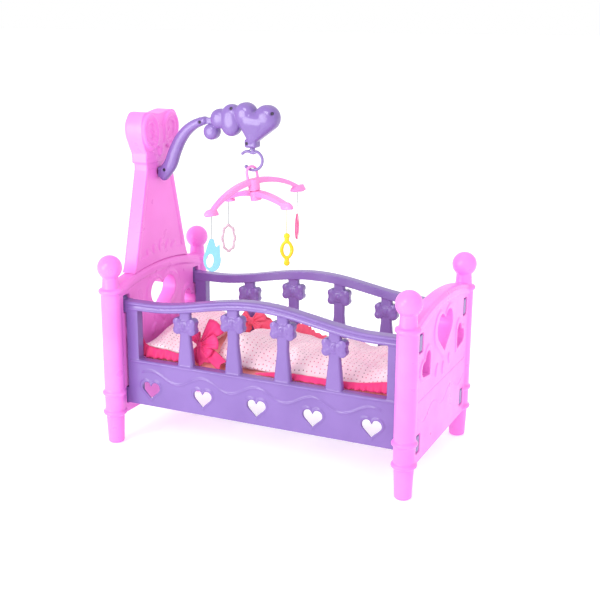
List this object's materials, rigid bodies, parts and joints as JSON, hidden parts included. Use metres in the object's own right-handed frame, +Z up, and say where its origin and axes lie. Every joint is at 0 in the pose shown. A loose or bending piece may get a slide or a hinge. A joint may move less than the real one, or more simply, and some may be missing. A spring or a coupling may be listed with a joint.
{
  "type": "doll crib with mobile",
  "caption": "Toy doll's crib with pink head and foot boards, purple slatted side panels, quilt and pillow, and a battery mobile on an arm.",
  "frame": {"origin": "middle of the crib's footprint, on the floor", "axes": "+X from the headboard to the footboard, +Y from the front panel to the back panel, +Z up"},
  "size_m": [0.5072, 0.2952, 0.5175],
  "materials": {
    "pink_plastic": "satin, blow moulded",
    "purple_plastic": "satin, injection moulded",
    "pale_pink_plastic": "satin, injection moulded",
    "hook_plastic": "satin, injection moulded",
    "blue_plastic": "gloss, injection moulded",
    "yellow_plastic": "gloss, injection moulded",
    "pearl_plastic": "gloss, injection moulded",
    "hot_pink_plastic": "gloss, injection moulded",
    "base_plastic": "matt sheet",
    "salmon_cloth": "woven polyester",
    "dotted_cloth": "printed woven polyester",
    "ruffle_cloth": "satin ribbon and ruffle",
    "thread": "twisted thread",
    "screw_steel": "dark zinc",
    "white_gear_plastic": "natural acetal",
    "steel": "bright steel",
    "board_green": "circuit board",
    "black_plastic": "moulded black"
  },
  "bodies": {
    "root": {"headboard": "pink_plastic", "headboard_tower": "pink_plastic", "footboard": "pink_plastic", "side_panel_front": "purple_plastic", "side_panel_back": "purple_plastic", "bed_base": "base_plastic", "mattress": "salmon_cloth", "pillow": "dotted_cloth", "quilt": "dotted_cloth", "ribbon_bow_front": "ruffle_cloth", "ribbon_bow_back": "ruffle_cloth", "arm_front_shell": "purple_plastic", "arm_rear_shell": "purple_plastic", "arm_screws": "screw_steel", "housing_front_shell": "purple_plastic", "housing_rear_shell": "purple_plastic", "housing_screws": "screw_steel", "battery_door": "purple_plastic", "battery_door_screw": "screw_steel", "button_cells": "steel", "battery_contacts": "steel", "circuit_board": "board_green", "speaker": "black_plastic", "slide_switch": "black_plastic", "spindle_bush": "white_gear_plastic", "gear_frame": "white_gear_plastic", "idler_axle": "steel", "gear_motor": "steel"},
    "spindle": {"hook": "hook_plastic", "output_gear": "white_gear_plastic", "spindle_clip": "steel"},
    "idler": {"idler_gear": "white_gear_plastic"},
    "motor_shaft": {"motor_pinion": "white_gear_plastic"},
    "hanger": {"hanger_top_bar": "pale_pink_plastic", "hanger_lower_bar": "pale_pink_plastic"},
    "switch": {"switch_knob": "black_plastic"},
    "hung_moon": {"string_moon": "thread", "pendant_moon": "blue_plastic"},
    "hung_star_ring": {"string_star_ring": "thread", "pendant_star_ring": "hot_pink_plastic"},
    "hung_flower": {"string_flower": "thread", "pendant_flower": "yellow_plastic"},
    "hung_octagon_ring": {"string_octagon_ring": "thread", "pendant_octagon_ring": "pearl_plastic"}
  },
  "joints": [
    {"name": "mobile_spin", "type": "hinge", "parent": "root", "child": "spindle", "pos_m": [-0.061, 0, 0.46], "axis": [0, 0, 1], "continuous": true},
    {"name": "idler_spin", "type": "hinge", "parent": "root", "child": "idler", "pos_m": [-0.049, 0, 0.4745], "axis": [0, 0, 1], "continuous": true},
    {"name": "motor_spin", "type": "hinge", "parent": "root", "child": "motor_shaft", "pos_m": [-0.04306, 0.00594, 0.4745], "axis": [0, 0, 1], "continuous": true},
    {"name": "hanger_swing", "type": "hinge", "parent": "spindle", "child": "hanger", "pos_m": [-0.061, 0, 0.4175], "axis": [0.9848, 0.1736, 0], "range_deg": [-15, 15]},
    {"name": "switch_slide", "type": "slide", "parent": "root", "child": "switch", "axis": [1, 0, 0], "range_m": [0, 0.004]},
    {"name": "moon_swing", "type": "hinge", "parent": "hanger", "child": "hung_moon", "pos_m": [-0.09552, -0.06594, 0.35572], "axis": [0.9092, 0.4163, 0], "range_deg": [-25, 25]},
    {"name": "star_ring_swing", "type": "hinge", "parent": "hanger", "child": "hung_star_ring", "pos_m": [-0.01835, 0.06718, 0.37817], "axis": [-0.2521, 0.9677, 0], "range_deg": [-25, 25]},
    {"name": "flower_swing", "type": "hinge", "parent": "hanger", "child": "hung_flower", "pos_m": [0.01387, -0.03774, 0.3701], "axis": [0.9092, 0.4163, 0], "range_deg": [-25, 25]},
    {"name": "octagon_ring_swing", "type": "hinge", "parent": "hanger", "child": "hung_octagon_ring", "pos_m": [-0.12859, 0.04673, 0.35892], "axis": [0.7815, 0.6239, 0], "range_deg": [-25, 25]}
  ],
  "couplings": [
    {"joint": "idler_spin", "follows": "mobile_spin", "ratio": -1.5},
    {"joint": "motor_spin", "follows": "mobile_spin", "ratio": 2}
  ]
}
